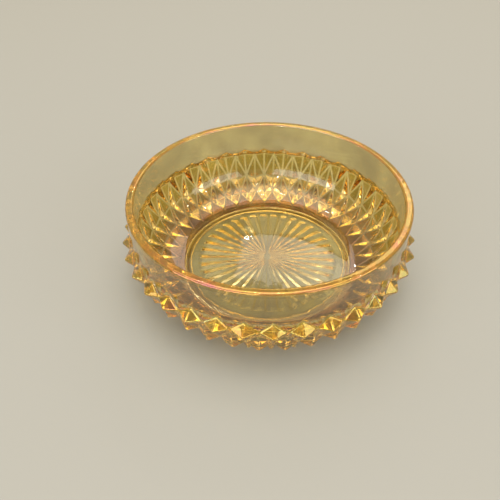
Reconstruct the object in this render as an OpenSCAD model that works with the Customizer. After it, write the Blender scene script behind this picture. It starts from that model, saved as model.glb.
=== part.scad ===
// Pressed carnival glass bowl: plain band, three rows of tall diamond points outside, smooth
// inside, and a rayed star in the underside. It is one pressing of glass. Each node is one zone
// of it, and the zones meet face to face. Millimetres, +Z up, origin at the centre of the base.

/* [Bowl] */
// Outer diameter of the rim and the plain band
rim_d = 184; // [150:1:230]
// Height from the table to the top of the rim
bowl_h = 64; // [56:1:84]
// Thickness of the glass at the rim
rim_t = 5.2; // [3.5:0.1:7]
// Rounding on each edge of the rim
rim_round = 1.7; // [0.4:0.1:2.4]
// Height of the fire-polished lip, at the top of the plain band
lip_h = 3; // [2.5:0.5:8]

/* [Hollow] */
// Thickness of the floor under the hollow
floor_t = 4.6; // [3.5:0.1:7]
// Radius of the bend between the wall and the floor, inside
inner_bend_r = 30; // [20:1:34]

/* [Diamond points] */
// Number of columns of points around the bowl
columns = 36; // [24:2:48]
// How far the wall swells past the plain band, below it
swell = 2.6; // [1:0.1:5]
// Radius of the wall's outer bend, through the grooves between the points
outer_bend_r = 36.9; // [30:0.1:40]
// Angle on that bend of each ring of corners where the points meet, down from the horizontal
corner_deg = [6.5, 35.5, 58.7, 77.8];
// Angle on that bend of the tips of each row
tip_deg = [6.5, 39, 58.3];
// Height of the tips of each row above the outer bend
tip_h = [4.8, 5, 7.1];
// Rise of the top row's blunt tops above its side corners. The plain band starts there.
top_rise = 5.1; // [2:0.1:8]

/* [Foot and star] */
// Width of the smooth heel, from under the bottom row in to the foot ring
heel_w = 6.1; // [2:0.1:12]
// Width of the foot ring
foot_w = 4.2; // [3:0.1:8]
// Height of the foot ring under the floor
foot_h = 2.2; // [1.4:0.1:4]
// Rounding on the foot ring's lower edges
foot_round = 0.7; // [0.2:0.1:1.2]
// Gap between the foot ring and the star pressed in the underside
star_gap = 5.2; // [1:0.1:20]
// Number of rays in the star
rays = 36; // [12:1:48]
// Depth of each ray where it is widest
ray_depth = 1.3; // [0.5:0.1:2]
// Length of the pointed outer end of each ray
ray_end = 4; // [2:0.5:8]
// Turn of the star against the columns of points
star_turn = 2; // [0:0.1:10]

/* [Hidden] */

amber = [0.80, 0.56, 0.20];
peach = [0.82, 0.62, 0.46];
pale_amber = [0.74, 0.66, 0.42];

rim_r = rim_d / 2;
hollow_r = rim_r - rim_t;
floor_z = foot_h + floor_t;
pitch = 360 / columns;
spots = 2 * columns;

// Centre, in radius and height, of the wall's outer bend
bend_r = rim_r + swell - outer_bend_r;
bend_z = foot_h + outer_bend_r;
// Middle angle and distance from that centre of the seam between rows k - 1 and k. Its inner
// edge lies in the hollow, which trims it away.
function seam_deg(k) = (corner_deg[k - 1] + corner_deg[k]) / 2;
seam_r = outer_bend_r - 15;
// Radius that the rays start from, and the share of the star that they fill
hub_r = 5;
ray_share = 0.94;

// A point of the section, as radius and height, at an angle on the outer bend
function on_bend(deg, reach) = [bend_r + reach * cos(deg), bend_z - reach * sin(deg)];

// A point of the section turned to its place around the bowl, counted in half columns
function turned(p, spot) = [p[0] * cos(spot * pitch / 2), p[0] * sin(spot * pitch / 2), p[1]];
function ring(p) = [for (i = [0 : spots - 1]) turned(p, i)];

// Corner rings are numbered down the wall. Even ones lie on the columns of the top row, and odd
// ones lie between them, so each row of points is staggered from the next.
function corner(k) = k == 0 ? [rim_r, band_z] : on_bend(corner_deg[k - 1], outer_bend_r);
band_z = on_bend(corner_deg[0], outer_bend_r)[1] + top_rise;
function zigzag(k) = [for (i = [0 : spots - 1]) turned(corner((i + k) % 2 == 0 ? k : k + 1), i)];
function seam(k) = ring(on_bend(seam_deg(k), seam_r));

// Outer radius of the foot ring, and radius of the star
foot_r = corner(4)[0] - heel_w;
star_r = foot_r - foot_w - star_gap;

// Outer edge of the heel, a little inside the lowest corners of the points, on the line from
// them to the foot
heel_inset = 1;
heel_r = corner(4)[0] - heel_inset;
heel_z = foot_h + (corner(4)[1] - foot_h) * (heel_r - foot_r) / (corner(4)[0] - foot_r);

// Faces between two rings of points that start at index a (upper or outer) and b, seen from
// outside the solid with a on top
function strip(a, b) = [
    for (i = [0 : spots - 1], side = [0, 1])
        let (j = (i + 1) % spots)
        side == 0 ? [a + i, a + j, b + j] : [a + i, b + j, b + i]
];
function flipped(faces) = [for (f = faces) [f[0], f[2], f[1]]];

// The hollow, open at the top
module hollow() {
    bend_in = hollow_r - inner_bend_r;
    rotate_extrude($fn = 180) {
        translate([0, floor_z])
            square([bend_in, bowl_h]);
        translate([0, floor_z + inner_bend_r])
            square([hollow_r, bowl_h]);
        intersection() {
            translate([bend_in, floor_z + inner_bend_r])
                circle(r = inner_bend_r, $fn = 180);
            translate([0, floor_z])
                square([rim_d, rim_d]);
        }
    }
}

// Triangles that have no two corners in one place
function whole(points, faces) = [
    for (f = faces)
        if (points[f[0]] != points[f[1]] && points[f[1]] != points[f[2]] && points[f[2]] != points[f[0]])
            f
];

// One row of points, with the wall behind it. Its skin is the facets of the points, and then
// strips from the row's lower zigzag in through the rings of behind, and out to its upper zigzag.
module diamond_row(k, behind) {
    rings = concat([zigzag(k + 1)], behind, [zigzag(k)]);
    points = concat(ring(on_bend(tip_deg[k], outer_bend_r + tip_h[k])), [for (r = rings) each r]);
    low = spots;
    high = spots * len(rings);
    facets = [
        for (i = [k % 2 : 2 : spots - 1], side = [0 : 3])
            let (left = (i + spots - 1) % spots, right = (i + 1) % spots)
            let (around = [high + i, high + right, low + i, high + left])
            [around[side], around[(side + 1) % 4], i]
    ];
    strips = [for (n = [1 : len(rings) - 2]) each strip(spots * n, spots * (n + 1))];
    difference() {
        polyhedron(
            points = points,
            faces = whole(points, concat(facets, strips, flipped(strip(high, high - spots))))
        );
        hollow();
    }
}

module rim() {
    color(peach)
        rotate_extrude($fn = 180)
            translate([0, bowl_h - lip_h])
                difference() {
                    translate([hollow_r, 0])
                        square([rim_t, lip_h]);
                    for (side = [0, 1])
                        translate([side == 0 ? hollow_r + rim_round : rim_r - rim_round, lip_h - rim_round])
                            difference() {
                                translate([side == 0 ? -rim_t : 0, 0])
                                    square([rim_t, rim_t]);
                                circle(r = rim_round, $fn = 48);
                            }
                }
}

// The plain upright band
module plain_band() {
    color(amber)
        rotate_extrude($fn = 180)
            translate([hollow_r, band_z])
                square([rim_t, bowl_h - lip_h - band_z]);
}

// The top row, with the flats that run down from the band between its points
module top_diamond_row() {
    color(amber)
        diamond_row(0, [seam(1), ring([on_bend(0, seam_r)[0], band_z]), ring(corner(0))]);
}

module middle_diamond_row() {
    color(amber)
        diamond_row(1, [seam(2), seam(1)]);
}

// The bottom row, with the flats that run up from the heel between its points
module bottom_diamond_row() {
    color(amber)
        difference() {
            diamond_row(2, [ring(corner(4)), ring([foot_r, foot_h]), ring([foot_r, bowl_h / 2]), seam(2)]);
            translate([0, 0, -1])
                cylinder(r = heel_r, h = bowl_h, $fn = 180);
        }
}

// The smooth turn from under the points in to the foot
module heel() {
    color(amber)
        difference() {
            rotate_extrude($fn = 180)
                polygon([[foot_r, foot_h], [heel_r, heel_z], [heel_r, bowl_h / 2], [foot_r, bowl_h / 2]]);
            hollow();
        }
}

// One ray of the star, cut upward into the underside: a groove that widens from the centre to
// its outer end, where it runs to a point. Its slopes carry on a little below the underside.
module ray() {
    wide_r = star_r - ray_end;
    half_w = wide_r * tan(ray_share * 180 / rays);
    below = 1.05;
    outline = [[hub_r, 0], [wide_r, half_w], [star_r, 0], [wide_r, -half_w]];
    base = [for (p = outline) [wide_r + (p[0] - wide_r) * below, p[1] * below, foot_h - ray_depth * (below - 1)]];
    polyhedron(
        points = concat(base, [[wide_r, 0, foot_h + ray_depth]]),
        faces = concat([[3, 2, 1, 0]], [for (i = [0 : 3]) [i, (i + 1) % 4, 4]])
    );
}

// The floor, with the star in its underside
module star_base() {
    color(pale_amber)
        difference() {
            translate([0, 0, foot_h])
                cylinder(r = foot_r, h = floor_t + 3, $fn = 180);
            hollow();
            for (i = [0 : rays - 1])
                rotate([0, 0, star_turn + i * 360 / rays])
                    ray();
        }
}

// The ring that the bowl stands on
module foot_ring() {
    color(amber)
        rotate_extrude($fn = 180)
            translate([foot_r - foot_w, 0])
                difference() {
                    square([foot_w, foot_h]);
                    for (side = [0, 1])
                        translate([side == 0 ? foot_round : foot_w - foot_round, foot_round])
                            difference() {
                                translate([side == 0 ? -foot_w : 0, -foot_w])
                                    square([foot_w, foot_w]);
                                circle(r = foot_round, $fn = 48);
                            }
                }
}

rim();
plain_band();
top_diamond_row();
middle_diamond_row();
bottom_diamond_row();
heel();
star_base();
foot_ring();
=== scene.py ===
import math
import bpy
import bmesh
from mathutils import Matrix, Vector


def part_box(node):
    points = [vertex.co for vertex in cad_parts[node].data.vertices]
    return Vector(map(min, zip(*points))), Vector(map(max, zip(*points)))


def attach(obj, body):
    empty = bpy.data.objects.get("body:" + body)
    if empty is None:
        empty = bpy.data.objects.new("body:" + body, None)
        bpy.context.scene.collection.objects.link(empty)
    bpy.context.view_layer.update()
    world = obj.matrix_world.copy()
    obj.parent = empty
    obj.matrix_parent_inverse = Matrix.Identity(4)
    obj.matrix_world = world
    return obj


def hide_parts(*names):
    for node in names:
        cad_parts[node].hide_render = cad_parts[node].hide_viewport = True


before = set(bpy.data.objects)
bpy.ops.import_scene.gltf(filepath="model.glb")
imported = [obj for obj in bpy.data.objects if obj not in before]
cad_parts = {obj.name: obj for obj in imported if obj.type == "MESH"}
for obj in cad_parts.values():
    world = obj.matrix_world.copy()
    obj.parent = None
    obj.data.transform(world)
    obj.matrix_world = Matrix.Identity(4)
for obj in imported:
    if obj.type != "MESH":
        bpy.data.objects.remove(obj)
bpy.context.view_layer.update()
mm = 0.001

# Places taken from the frame
_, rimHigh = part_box("rim")
bandLow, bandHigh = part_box("plain_band")
_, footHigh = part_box("foot_ring")
rimR = bandHigh[0]
bowlH = rimHigh[2]
bandZ = bandLow[2]
footR = footHigh[0]
footH = footHigh[2]

bowl = {
    "columns": 36,  # columns of points round the bowl
    "rimThick": 5.2 * mm,
    "rimRound": 1.7 * mm,  # each edge of the lip, softened by the flame
    "floorThick": 4.6 * mm,
    "innerBend": 30 * mm,
    "outerBend": 36.9 * mm,
    "swell": 2.6 * mm,  # how far the wall stands out past the plain band
    "cornerDeg": (6.5, 35.5, 58.7, 77.8),  # rings of corners, down the outer bend
    "tipDeg": (6.5, 39, 58.3),  # tips of the three rows
    "tipHeight": (4.8 * mm, 5 * mm, 7.1 * mm),
    "ridgeSoft": 1.1 * mm,  # how far the press rounds each ridge and groove
    "sprayInside": 0,  # share of the film that reached the inside
    "sprayBand": 0.12,  # and that stayed on the plain band
    "footWidth": 4.2 * mm,
    "footRound": 0.7 * mm,
}
star = {
    "rays": 36,
    "radius": 50 * mm,
    "hub": 2 * mm,  # plain spot in the middle
    "depth": 1.3 * mm,
    "depthCurve": 0.7,  # how fast a ray deepens outward
    "end": 4 * mm,  # rounded outer end of each ray
    "share": 0.94,  # how much of its sector a ray fills
    "turn": 2,  # degrees against the columns
    "paintedRayFrom": 9 * mm,  # the painted reflection on the lands starts here, and is full at twice this radius
}


def linear(hexColour):  # sRGB hex to Blender's linear colour
    parts = [int(hexColour[i:i + 2], 16) / 255 for i in (1, 3, 5)]
    return tuple(c / 12.92 if c <= 0.04045 else ((c + 0.055) / 1.055) ** 2.4 for c in parts) + (1,)


def addNode(tree, kind, links=None, **settings):  # one node, its settings and its links
    node = tree.nodes.new(kind)
    for name, value in settings.items():
        if hasattr(node, name):
            setattr(node, name, value)
        else:
            node.inputs[name.replace("_", " ")].default_value = value
    for name, source in (links or {}).items():
        tree.links.new(source, node.inputs[name])
    return node


hollowR = rimR - bowl["rimThick"]
floorZ = footH + bowl["floorThick"]
bendR = rimR + bowl["swell"] - bowl["outerBend"]
bendZ = footH + bowl["outerBend"]
spots = 2 * bowl["columns"]
perSpot = 5  # steps of the round surfaces between one column and the next half column
steps = spots * perSpot


def onBend(deg, reach):  # radius and height at an angle on the wall's outer bend
    a = math.radians(deg)
    return (bendR + reach * math.cos(a), bendZ - reach * math.sin(a))


def corner(k):
    return (rimR, bandZ) if k == 0 else onBend(bowl["cornerDeg"][k - 1], bowl["outerBend"])


def tip(k):
    return onBend(bowl["tipDeg"][k], bowl["outerBend"] + bowl["tipHeight"][k])


def hollowZ(reach):  # height of the inner surface at a radius
    across = max(0, min(reach, hollowR) - (hollowR - bowl["innerBend"]))
    return floorZ + bowl["innerBend"] - math.sqrt(bowl["innerBend"] ** 2 - across ** 2)


def spun(point, turns):  # a radius and height turned to its place, in parts of a full turn
    a = 2 * math.pi * turns
    return Vector((point[0] * math.cos(a), point[0] * math.sin(a), point[1]))


def arc(centre, radius, startDeg, endDeg, count):  # points of an arc in radius and height
    return [
        (centre[0] + radius * math.cos(math.radians(startDeg + (endDeg - startDeg) * i / count)),
         centre[1] + radius * math.sin(math.radians(startDeg + (endDeg - startDeg) * i / count)))
        for i in range(count + 1)
    ]


def line(start, end, count):
    return [
        (start[0] + (end[0] - start[0]) * i / count, start[1] + (end[1] - start[1]) * i / count)
        for i in range(count + 1)
    ]


def lathe(mesh, outline):  # turns an outline, and returns its rings of vertices
    rings = []
    for point in outline:
        if point[0] < 1e-9:
            rings.append([mesh.verts.new(spun(point, 0))])
        else:
            rings.append([mesh.verts.new(spun(point, i / steps)) for i in range(steps)])
    for upper, lower in zip(rings, rings[1:]):
        for i in range(steps):
            j = (i + 1) % steps
            if len(lower) == 1:
                mesh.faces.new((upper[i], upper[j], lower[0]))
            else:
                mesh.faces.new((upper[i], upper[j], lower[j], lower[i]))
    return rings


def makeLip(mesh):  # band, lip, hollow and floor, from the band's lower edge over and in to the middle
    r = bowl["rimRound"]
    bend = bowl["innerBend"]
    outline = line((rimR, bandZ), (rimR, bowlH - r), 8)
    outline += arc((rimR - r, bowlH - r), r, 0, 90, 8)[1:]
    outline += line((rimR - r, bowlH), (hollowR + r, bowlH), 3)[1:]
    outline += arc((hollowR + r, bowlH - r), r, 90, 180, 8)[1:]
    outline += line((hollowR, bowlH - r), (hollowR, floorZ + bend), 8)[1:]
    outline += arc((hollowR - bend, floorZ + bend), bend, 0, -90, 40)[1:]
    outline += line((hollowR - bend, floorZ), (0, floorZ), 16)[1:]
    return lathe(mesh, outline)[0]


def makeFoot(mesh):  # from the ring under the bottom row in over the foot to the star's flat
    r = bowl["footRound"]
    inner = footR - bowl["footWidth"]
    brink = corner(4)
    outline = line(brink, (footR + r, footH), 3)
    outline += arc((footR + r, footH - r), r, 90, 180, 4)[1:]
    outline += arc((footR - r, r), r, 0, -90, 6)
    outline += line((footR - r, 0), (inner + r, 0), 3)[1:]
    outline += arc((inner + r, r), r, -90, -180, 6)[1:]
    outline += arc((inner - r, footH - r), r, 0, 90, 4)
    rings = lathe(mesh, outline)
    return rings[0], rings[-1]


def groove(r, across):  # depth of a ray at a radius, and at a share of its half sector
    wide = star["radius"] - star["end"]
    t = abs(across) / star["share"]
    if r > wide:
        return max(0, star["depth"] * (1 - math.hypot((r - wide) / star["end"], t)))
    out = (r - star["hub"]) / (wide - star["hub"])
    return max(0, star["depth"] * out ** star["depthCurve"] * (1 - t))


def makeStar(mesh, paintedRayReflection):  # rayed underside, from the middle out to a plain ring
    wide = star["radius"] - star["end"]
    radii = [star["hub"] + (wide - star["hub"]) * (i / 18) ** 1.3 for i in range(19)]
    radii += [wide + star["end"] * math.sin(math.pi / 2 * i / 10) for i in range(1, 11)]
    across = (-1, -0.94, -0.78, -0.4, -0.06, 0, 0.06, 0.4, 0.78, 0.94)
    lands = (0, 1, 8, 9)  # steps of a sector beside the edge between two rays
    count = star["rays"] * len(across)
    rings = [[mesh.verts.new((0, 0, footH))]]
    for r in radii:
        ring = []
        for k in range(star["rays"]):
            for a in across:
                turns = star["turn"] / 360 + (k + a / 2) / star["rays"]
                ring.append(mesh.verts.new(spun((r, footH + groove(r, a)), turns)))
        rings.append(ring)
    for inner, outer in zip(rings, rings[1:]):
        # Painted reflection: the lands beside each ray's edge take a gold tint, more of it further out
        gold = max(0, min(1, (outer[0].co.xy.length - star["paintedRayFrom"]) / star["paintedRayFrom"]))
        for i in range(count):
            j = (i + 1) % count
            if len(inner) == 1:
                mesh.faces.new((outer[i], inner[0], outer[j]))
            else:
                face = mesh.faces.new((inner[i], inner[j], outer[j], outer[i]))
                face[paintedRayReflection] = gold if i % len(across) in lands else 0
    return rings[-1]


def makePoints(mesh, bandRing, brinkRing):
    # Corner k lies on the columns where k is even and between them where it is odd
    corners = {
        (k, s): mesh.verts.new(spun(corner(k), s / spots))
        for k in range(1, 4) for s in range(spots) if s % 2 == k % 2
    }
    for s in range(0, spots, 2):
        corners[0, s] = bandRing[s * perSpot]
        corners[4, s] = brinkRing[s * perSpot]
    tips = {
        (k, s): mesh.verts.new(spun(tip(k), s / spots))
        for k in range(3) for s in range(spots) if s % 2 == k % 2
    }
    edges = set()
    for (k, s), point in tips.items():
        left, right = (s - 1) % spots, (s + 1) % spots
        around = (corners[k, s], corners[k + 1, right], corners[k + 2, s], corners[k + 1, left])
        for a, b in zip(around, around[1:] + around[:1]):
            edges.update(mesh.faces.new((a, b, point)).edges)
    # Flats between the points run to the band and to the heel, and meet them without a crease
    for k, ring in ((1, bandRing), (3, brinkRing)):
        for s in range(1, spots, 2):
            for i in range((s - 1) * perSpot, (s + 1) * perSpot):
                mesh.faces.new((corners[k, s], ring[i % steps], ring[(i + 1) % steps]))
    return list(edges)


def makeBowl(material):
    mesh = bmesh.new()
    spray = mesh.verts.layers.float.new("spray")  # 1 on the side that was sprayed
    bright = mesh.faces.layers.float.new("bright")  # 1 along ridges, grooves and the foot ring, which take a paler tint as painted highlights
    paintedRayReflection = mesh.faces.layers.float.new("paintedRayReflection")  # 1 on the star's thin lands, which take a gold tint as a painted reflection of the gold wall
    bandRing = makeLip(mesh)
    brinkRing, footFlat = makeFoot(mesh)
    # The foot's bottom and outer wall take the painted highlight tint as well
    for face in mesh.faces:
        middle = face.calc_center_median()
        if middle.z < footH * 0.8 and math.hypot(middle.x, middle.y) > footR - bowl["footWidth"] / 2:
            face[bright] = 1
    starRing = makeStar(mesh, paintedRayReflection)
    shift = round((star["turn"] / 360 - 0.5 / star["rays"]) * steps)
    for i in range(steps):
        j = (i + 1) % steps
        near, far = (i + shift) % steps, (j + shift) % steps
        mesh.faces.new((footFlat[near], footFlat[far], starRing[j], starRing[i]))
    creases = makePoints(mesh, bandRing, brinkRing)
    bmesh.ops.recalc_face_normals(mesh, faces=mesh.faces)  # the bevel tears faces that disagree
    softened = bmesh.ops.bevel(mesh, geom=creases, offset=bowl["ridgeSoft"], offset_type="OFFSET",
                               segments=3, profile=0.5, affect="EDGES", clamp_overlap=True)
    # The rounded ridges and grooves take the painted highlight tint
    for face in softened["faces"]:
        face[bright] = 1
    for vert in mesh.verts:
        reach = math.hypot(vert.co.x, vert.co.y)
        inside = vert.co.z > hollowZ(reach) - 1 * mm and reach < hollowR + 0.1 * mm
        vert[spray] = bowl["sprayInside"] if inside else 1
        if not inside and bandZ - 1 * mm < vert.co.z < bowlH - 3 * mm and reach < rimR + 0.1 * mm:
            vert[spray] = bowl["sprayBand"]
    bmesh.ops.dissolve_degenerate(mesh, edges=mesh.edges, dist=0.001 * mm)
    bmesh.ops.recalc_face_normals(mesh, faces=mesh.faces)
    data = bpy.data.meshes.new("glass_bowl")
    mesh.to_mesh(data)
    openEdges = sum(1 for e in mesh.edges if len(e.link_faces) != 2)
    print("bowl mesh:", len(mesh.faces), "faces,", openEdges, "open edges, volume",
          round(mesh.calc_volume() * 1e6, 1), "cm3")
    mesh.free()
    for face in data.polygons:
        face.use_smooth = True
    piece = bpy.data.objects.new("glass_bowl", data)
    bpy.context.collection.objects.link(piece)
    even = piece.modifiers.new("evenNormals", "WEIGHTED_NORMAL")
    even.keep_sharp = True
    data.materials.append(material)
    return piece


glassLook = {
    "clear": "#FBF6D4",  # bare glass, where the spray never reached
    "film": "#D6B034",  # marigold film, seen through
    "filmDeep": "#94761C",  # where it ran thicker
    "filmBand": "#E4D07A",  # on the plain band, and where it ran thicker there
    "filmBandDeep": "#98802E",
    "insideTint": 0.52,  # share of the colour that the inside has
    "filmRim": "#F4D2A0",  # where the flame thinned it, on the lip
    "paintedRidgeHighlight": "#FFF094",  # painted highlight: a paler tint along ridges, grooves and the foot ring
    "paintedRayTint": "#FBE07C",  # painted reflection of the gold wall, on the lands of the star
    "depthTint": "#F2DC62",  # the glass itself, in depth
    "depthDensity": 24,  # per metre
    "ior": 1.52,
    "filmIor": 1.86,
    "filmNm": (221, 260),  # thinnest and thickest film, on the top row of points
    "filmLipNm": 24,  # how much thicker it is on the lip
    "filmFootNm": -34,  # and how much thinner near the foot
    "bareTo": 54 * mm,  # radius of the bare star, and where the film is whole
    "sprayedFrom": 58 * mm,
    "cloud": 22 * mm,  # size of the uneven patches in the film
    "cloudRange": (0.3, 0.7),  # the part of the noise that they use
    "ripple": 5 * mm,  # size of the chill ripples left by the mould
    "rippleHeight": 0.2 * mm,
    "rippleStrength": 0.25,
}


def marigoldGlass():
    # Soda-lime glass, pressed and fire-polished, with a metal-salt film sprayed on hot: clear gold
    # where light passes through, pink to blue-grey where it mirrors. The star was never sprayed.
    material = bpy.data.materials.new("marigold_glass")
    material.use_nodes = True
    tree = material.node_tree
    tree.nodes.clear()
    place = addNode(tree, "ShaderNodeTexCoord")
    parts = addNode(tree, "ShaderNodeSeparateXYZ", {"Vector": place.outputs["Object"]})
    flat = addNode(tree, "ShaderNodeCombineXYZ", {"X": parts.outputs["X"], "Y": parts.outputs["Y"]})
    reach = addNode(tree, "ShaderNodeVectorMath", {0: flat.outputs[0]}, operation="LENGTH")
    sprayed = addNode(tree, "ShaderNodeMapRange", {"Value": reach.outputs["Value"]},
                      interpolation_type="SMOOTHSTEP", From_Min=glassLook["bareTo"],
                      From_Max=glassLook["sprayedFrom"])
    cloud = addNode(tree, "ShaderNodeTexNoise", {"Vector": place.outputs["Object"]},
                    Scale=1 / glassLook["cloud"], Detail=3.0)
    noiseLow, noiseHigh = glassLook["cloudRange"]
    runs = addNode(tree, "ShaderNodeMapRange", {"Value": cloud.outputs["Fac"]},
                   From_Min=noiseLow, From_Max=noiseHigh)
    golds = addNode(tree, "ShaderNodeMix", {"Factor": runs.outputs[0]}, data_type="RGBA")
    golds.inputs[6].default_value = linear(glassLook["film"])
    golds.inputs[7].default_value = linear(glassLook["filmDeep"])
    plain = addNode(tree, "ShaderNodeMapRange", {"Value": parts.outputs["Z"]},
                    From_Min=bandZ - 2 * mm, From_Max=bandZ + 3 * mm)
    smoky = addNode(tree, "ShaderNodeMix", {"Factor": runs.outputs[0]}, data_type="RGBA")
    smoky.inputs[6].default_value = linear(glassLook["filmBand"])
    smoky.inputs[7].default_value = linear(glassLook["filmBandDeep"])
    olive = addNode(tree, "ShaderNodeMix",
                    {"Factor": plain.outputs[0], 6: golds.outputs[2], 7: smoky.outputs[2]},
                    data_type="RGBA")
    lip = addNode(tree, "ShaderNodeMapRange", {"Value": parts.outputs["Z"]},
                  From_Min=bowlH - 3 * mm, From_Max=bowlH - 1.2 * mm)
    peach = addNode(tree, "ShaderNodeMix", {"Factor": lip.outputs[0], 6: olive.outputs[2]},
                    data_type="RGBA")
    peach.inputs[7].default_value = linear(glassLook["filmRim"])
    side = addNode(tree, "ShaderNodeAttribute", attribute_name="spray")
    share = addNode(tree, "ShaderNodeMapRange", {"Value": side.outputs["Fac"]},
                    To_Min=glassLook["insideTint"])
    colour = addNode(tree, "ShaderNodeMath", {0: sprayed.outputs[0], 1: share.outputs[0]},
                     operation="MULTIPLY")
    tint = addNode(tree, "ShaderNodeMix", {"Factor": colour.outputs[0], 7: peach.outputs[2]},
                   data_type="RGBA")
    tint.inputs[6].default_value = linear(glassLook["clear"])
    # Painted highlights: a paler tint along ridges, grooves and the foot ring
    ridge = addNode(tree, "ShaderNodeAttribute", attribute_name="bright")
    ridgeHighlightMix = addNode(tree, "ShaderNodeMix", {"Factor": ridge.outputs["Fac"], 6: tint.outputs[2]},
                    data_type="RGBA")
    ridgeHighlightMix.inputs[7].default_value = linear(glassLook["paintedRidgeHighlight"])
    # Painted reflection: a gold tint on the star's lands stands in for the gold wall seen in them
    land = addNode(tree, "ShaderNodeAttribute", attribute_name="paintedRayReflection")
    rays = addNode(tree, "ShaderNodeMix", {"Factor": land.outputs["Fac"], 6: ridgeHighlightMix.outputs[2]},
                   data_type="RGBA")
    rays.inputs[7].default_value = linear(glassLook["paintedRayTint"])
    thinnest, thickest = glassLook["filmNm"]
    film = addNode(tree, "ShaderNodeMapRange", {"Value": cloud.outputs["Fac"]},
                   From_Min=noiseLow, From_Max=noiseHigh, To_Min=thinnest, To_Max=thickest)
    wet = addNode(tree, "ShaderNodeMath", {0: sprayed.outputs[0], 1: side.outputs["Fac"]},
                  operation="MULTIPLY")
    graded = addNode(tree, "ShaderNodeMapRange", {"Value": parts.outputs["Z"]},
                     From_Min=8 * mm, From_Max=32 * mm, To_Min=glassLook["filmFootNm"], To_Max=0.0)
    even = addNode(tree, "ShaderNodeMath", {0: film.outputs[0], 1: graded.outputs[0]}, operation="ADD")
    thick = addNode(tree, "ShaderNodeMath", {0: lip.outputs[0], 2: even.outputs[0]},
                    operation="MULTIPLY_ADD")
    thick.inputs[1].default_value = glassLook["filmLipNm"]
    coat = addNode(tree, "ShaderNodeMath", {0: thick.outputs[0], 1: wet.outputs[0]},
                   operation="MULTIPLY")
    ripple = addNode(tree, "ShaderNodeTexNoise", {"Vector": place.outputs["Object"]},
                     Scale=1 / glassLook["ripple"], Detail=1.0)
    bump = addNode(tree, "ShaderNodeBump", {"Height": ripple.outputs["Fac"]},
                   Strength=glassLook["rippleStrength"], Distance=glassLook["rippleHeight"])
    shader = addNode(tree, "ShaderNodeBsdfPrincipled",
                     {"Base Color": rays.outputs[2], "Normal": bump.outputs[0],
                      "Thin Film Thickness": coat.outputs[0]},
                     Roughness=0.01, IOR=glassLook["ior"], Transmission_Weight=1.0,
                     Thin_Film_IOR=glassLook["filmIor"])
    depth = addNode(tree, "ShaderNodeVolumeAbsorption", Color=linear(glassLook["depthTint"]),
                    Density=glassLook["depthDensity"])
    addNode(tree, "ShaderNodeOutputMaterial", {"Surface": shader.outputs[0], "Volume": depth.outputs[0]})
    return material


table = {
    "colour": "#838689",
    "roughness": 0.7,
    "size": 6,
    "below": 0.05 * mm,  # clear of the foot by a hair
}


def paleFloor():  # matt painted board, cool enough to look neutral under the warm light
    material = bpy.data.materials.new("pale_floor")
    material.use_nodes = True
    shader = material.node_tree.nodes["Principled BSDF"]
    shader.inputs["Base Color"].default_value = linear(table["colour"])
    shader.inputs["Roughness"].default_value = table["roughness"]
    return material


def makeFloor():
    bpy.ops.mesh.primitive_plane_add(size=table["size"], location=(0, 0, -table["below"]))
    floor = bpy.context.object
    floor.name = "floor"
    floor.data.materials.append(paleFloor())


def softbox(name, place, aim, size, power):
    lamp = bpy.data.lights.new(name, "AREA")
    lamp.shape = "RECTANGLE"
    lamp.size, lamp.size_y = size
    lamp.energy = power
    box = bpy.data.objects.new(name, lamp)
    bpy.context.collection.objects.link(box)
    box.location = place
    box.rotation_euler = (Vector(aim) - Vector(place)).to_track_quat("-Z", "Y").to_euler()


lights = {
    "aim": (0, 0, 0.03),
    "sky": "#FFF0D2",
    # Strength at heights given as sines. The crown overhead reaches the table under the bowl.
    "skySteps": ((0, 0.4), (0.2, 0.7), (0.4, 0.95), (0.6, 1.1), (0.8, 1), (0.93, 5)),
    # Place, size and watts of each: one behind the bowl, and two low at the front for its points
    "boxes": {
        "windowLight": ((0.3, 1.1, 1.0), (0.7, 0.35), 1.5),
        "frontLeftLight": ((-1.0, -1.25, 0.62), (1.9, 0.8), 17),
        "frontRightLight": ((1.25, -1.0, 0.62), (1.5, 0.8), 10),
    },
    "spots": 13,  # small lamps in a ring, which put sparks on the ridges
    "spotSize": 0.022,
    "spotPower": 0.13,
    "spotReach": 1.1,
    "spotTilts": (40, 62, 84),  # degrees up, taken in turn
}


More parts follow.
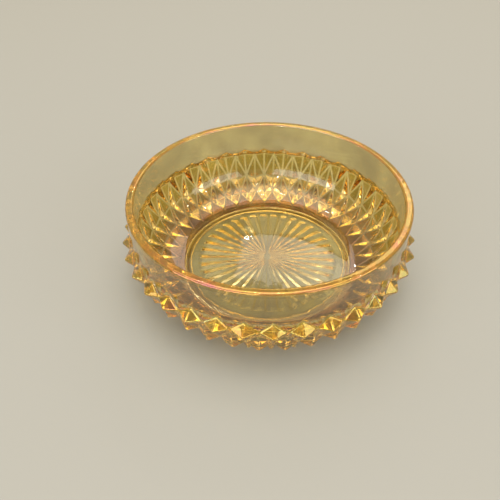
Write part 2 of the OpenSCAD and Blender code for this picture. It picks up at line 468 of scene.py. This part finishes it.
def makeLight():
    world = bpy.data.worlds.new("studio")
    bpy.context.scene.world = world
    world.use_nodes = True
    tree = world.node_tree
    place = addNode(tree, "ShaderNodeTexCoord")
    parts = addNode(tree, "ShaderNodeSeparateXYZ", {"Vector": place.outputs["Generated"]})
    steepest = max(strength for height, strength in lights["skySteps"])
    ramp = addNode(tree, "ShaderNodeValToRGB", {"Fac": parts.outputs["Z"]})
    stops = ramp.color_ramp.elements
    while len(stops) < len(lights["skySteps"]):
        stops.new(0.5)
    for stop, (height, strength) in zip(stops, lights["skySteps"]):
        stop.position = height
        stop.color = (strength / steepest,) * 3 + (1,)
    bright = addNode(tree, "ShaderNodeMath", {0: ramp.outputs["Color"]}, operation="MULTIPLY")
    bright.inputs[1].default_value = steepest
    background = tree.nodes["Background"]
    background.inputs["Color"].default_value = linear(lights["sky"])
    tree.links.new(bright.outputs[0], background.inputs["Strength"])
    for name, (place, size, power) in lights["boxes"].items():
        softbox(name, place, lights["aim"], size, power)
    for i in range(lights["spots"]):
        turn = 2 * math.pi * (i + 0.3) / lights["spots"]
        tilt = math.radians(lights["spotTilts"][i % 3])
        reach = lights["spotReach"]
        place = (reach * math.cos(tilt) * math.cos(turn), reach * math.cos(tilt) * math.sin(turn),
                 reach * math.sin(tilt))
        size = (lights["spotSize"], lights["spotSize"])
        softbox("spotLight" + str(i + 1), place, lights["aim"], size, lights["spotPower"])


view = {
    "elevation": 42.35,  # degrees that the camera looks down
    "roll": -0.52,
    "place": (-0.135, -2.8925, 2.0638),  # right, forward and above the rim, in rim radii
    "lens": 36,
}


def makeCamera():
    camera = bpy.data.cameras.new("camera")
    camera.lens = view["lens"]
    camera.sensor_width = 36
    camera.clip_start = 0.01
    piece = bpy.data.objects.new("camera", camera)
    bpy.context.collection.objects.link(piece)
    right, forward, above = view["place"]
    turn = Matrix.Rotation(math.radians(90 - view["elevation"]), 4, "X")
    turn = turn @ Matrix.Rotation(math.radians(view["roll"]), 4, "Z")
    piece.matrix_world = Matrix.Translation((right * rimR, forward * rimR, bowlH + above * rimR)) @ turn
    bpy.context.scene.camera = piece


makeCamera()
print("camera set")
makeFloor()
makeLight()
print("floor and lights set")
glassBowl = makeBowl(marigoldGlass())
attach(glassBowl, "root")
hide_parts("rim", "plain_band", "top_diamond_row", "middle_diamond_row",
            "bottom_diamond_row", "heel", "star_base", "foot_ring")
print("bowl made")

scene = bpy.context.scene
scene.cycles.max_bounces = 24
scene.cycles.transmission_bounces = 24
scene.cycles.glossy_bounces = 12
scene.view_settings.view_transform = "Standard"
